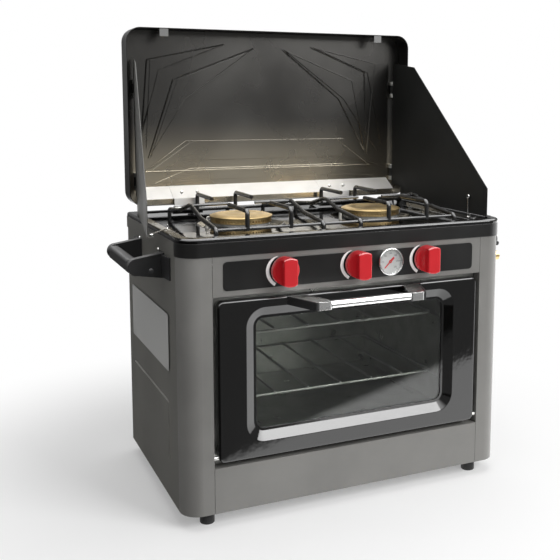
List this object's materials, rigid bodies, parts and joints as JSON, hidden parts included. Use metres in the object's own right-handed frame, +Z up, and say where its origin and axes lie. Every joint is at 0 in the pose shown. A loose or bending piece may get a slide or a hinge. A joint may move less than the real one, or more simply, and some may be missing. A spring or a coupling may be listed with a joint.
{
  "type": "camping gas stove and oven",
  "caption": "Portable gas cooktop with an oven below: glazed drop-down door, control knobs, thermometer, wire pan support, lid standing open and side windshields.",
  "frame": {"origin": "on the floor, under the middle of the whole object as it stands open", "axes": "+X to the right seen from the front, +Y to the back, +Z up"},
  "size_m": [0.648, 0.406, 0.738],
  "materials": {
    "grey_side": "satin",
    "grey_front": "satin",
    "black_paint": "satin",
    "black_enamel": "gloss",
    "black_frame": "satin",
    "lid_steel": "satin",
    "shield_left": "satin",
    "shield_right": "matte",
    "zinc_steel": "satin",
    "chrome": "polished",
    "brass": "satin",
    "burner_alloy": "cast",
    "red_plastic": "gloss",
    "needle_red": "gloss",
    "black_plastic": "matte",
    "white_ceramic": "glazed",
    "door_glass": "clear, lightly smoked",
    "lens_glass": "clear",
    "gasket_fibre": "woven",
    "foot_rubber": "matte"
  },
  "bodies": {
    "cabinet": {"side_panel_left": "grey_side", "side_panel_right": "grey_side", "corner_post_left": "grey_front", "corner_post_right": "grey_front", "kick_panel": "grey_front", "control_panel": "grey_front", "control_fascia": "black_paint", "front_band": "black_paint", "side_rails": "grey_side", "back_panel": "grey_side", "base_panel": "black_paint", "cooktop_tray": "black_enamel", "burner_bases": "burner_alloy", "burner_cap_left": "brass", "burner_cap_right": "brass", "mixer_tubes": "zinc_steel", "gas_manifold": "brass", "gas_inlet": "brass", "gas_valves": "brass", "oven_supply_pipe": "zinc_steel", "oven_burner": "zinc_steel", "oven_liner": "zinc_steel", "oven_gasket": "gasket_fibre", "rack_runners": "zinc_steel", "oven_floor": "zinc_steel", "igniter_electrodes": "white_ceramic", "feet": "foot_rubber", "handle_arms": "black_plastic", "handle_grips": "black_plastic", "thermometer_case": "chrome", "thermometer_lens": "lens_glass", "lid_hinge_base": "zinc_steel"},
    "lid": {"lid_shell": "black_paint", "lid_liner": "lid_steel", "lid_catches": "chrome", "lid_hinge_straps": "lid_steel", "windshield_hinges": "zinc_steel"},
    "windshield_left": {"windshield_left": "shield_left"},
    "windshield_right": {"windshield_right": "shield_right"},
    "hook_left": {"hook_left": "chrome"},
    "hook_right": {"hook_right": "chrome"},
    "door": {"door_outer": "black_enamel", "door_glass": "door_glass", "door_inner": "zinc_steel", "door_pins": "zinc_steel", "door_handle_bar": "chrome", "door_handle_arms": "chrome", "door_handle_caps": "black_plastic"},
    "stem_left": {"valve_stem_left": "zinc_steel"},
    "stem_middle": {"valve_stem_middle": "zinc_steel"},
    "stem_right": {"valve_stem_right": "zinc_steel"},
    "knob_left": {"knob_left": "red_plastic"},
    "knob_middle": {"knob_middle": "red_plastic"},
    "knob_right": {"knob_right": "red_plastic"},
    "needle": {"thermometer_needle": "needle_red"},
    "rack_upper": {"rack_upper": "chrome"},
    "rack_lower": {"rack_lower": "chrome"},
    "pan_support": {"pan_support": "black_frame"}
  },
  "joints": [
    {"name": "lid_hinge", "type": "hinge", "parent": "cabinet", "child": "lid", "pos_m": [0, 0.1645, 0.4305], "axis": [1, 0, 0], "range_deg": [-8, 0]},
    {"name": "windshield_left_hinge", "type": "hinge", "parent": "lid", "child": "windshield_left", "pos_m": [-0.252, 0.1928, 0.477], "axis": [0, 0, 1], "range_deg": [-12, 10]},
    {"name": "windshield_right_hinge", "type": "hinge", "parent": "lid", "child": "windshield_right", "pos_m": [0.252, 0.1903, 0.477], "axis": [0, 0, 1], "range_deg": [-6.5, 0]},
    {"name": "hook_left_pivot", "type": "hinge", "parent": "windshield_left", "child": "hook_left", "pos_m": [-0.3018, -0.1122, 0.4315], "axis": [0, 0, 1], "range_deg": [-30, 10]},
    {"name": "hook_right_pivot", "type": "hinge", "parent": "windshield_right", "child": "hook_right", "pos_m": [0.249, -0.0767, 0.456], "axis": [1, 0, 0], "range_deg": [-12, 12]},
    {"name": "oven_door_hinge", "type": "hinge", "parent": "cabinet", "child": "door", "pos_m": [0, -0.1425, 0.104], "axis": [1, 0, 0], "range_deg": [0, 90]},
    {"name": "stem_left_push", "type": "slide", "parent": "cabinet", "child": "stem_left", "axis": [0, 1, 0], "range_m": [0, 0.003], "stiffness_N_per_m": 1500},
    {"name": "stem_middle_push", "type": "slide", "parent": "cabinet", "child": "stem_middle", "axis": [0, 1, 0], "range_m": [0, 0.003], "stiffness_N_per_m": 1500},
    {"name": "stem_right_push", "type": "slide", "parent": "cabinet", "child": "stem_right", "axis": [0, 1, 0], "range_m": [0, 0.003], "stiffness_N_per_m": 1500},
    {"name": "knob_left_turn", "type": "hinge", "parent": "stem_left", "child": "knob_left", "pos_m": [-0.1175, -0.1625, 0.3735], "axis": [0, 1, 0], "range_deg": [-210, 0]},
    {"name": "knob_middle_turn", "type": "hinge", "parent": "stem_middle", "child": "knob_middle", "pos_m": [0.0015, -0.1625, 0.3735], "axis": [0, 1, 0], "range_deg": [-210, 0]},
    {"name": "knob_right_turn", "type": "hinge", "parent": "stem_right", "child": "knob_right", "pos_m": [0.1205, -0.1625, 0.3735], "axis": [0, 1, 0], "range_deg": [-210, 0]},
    {"name": "thermometer_needle_pivot", "type": "hinge", "parent": "cabinet", "child": "needle", "pos_m": [0.057, -0.1525, 0.373], "axis": [0, 1, 0], "range_deg": [0, 270], "stiffness_Nm_per_rad": 0.002},
    {"name": "rack_upper_slide", "type": "slide", "parent": "cabinet", "child": "rack_upper", "axis": [0, -1, 0], "range_m": [0, 0.03]},
    {"name": "rack_lower_slide", "type": "slide", "parent": "cabinet", "child": "rack_lower", "axis": [0, -1, 0], "range_m": [0, 0.03]},
    {"name": "pan_support_lift", "type": "slide", "parent": "cabinet", "child": "pan_support", "axis": [0, 0, 1], "range_m": [0, 0.06]}
  ]
}
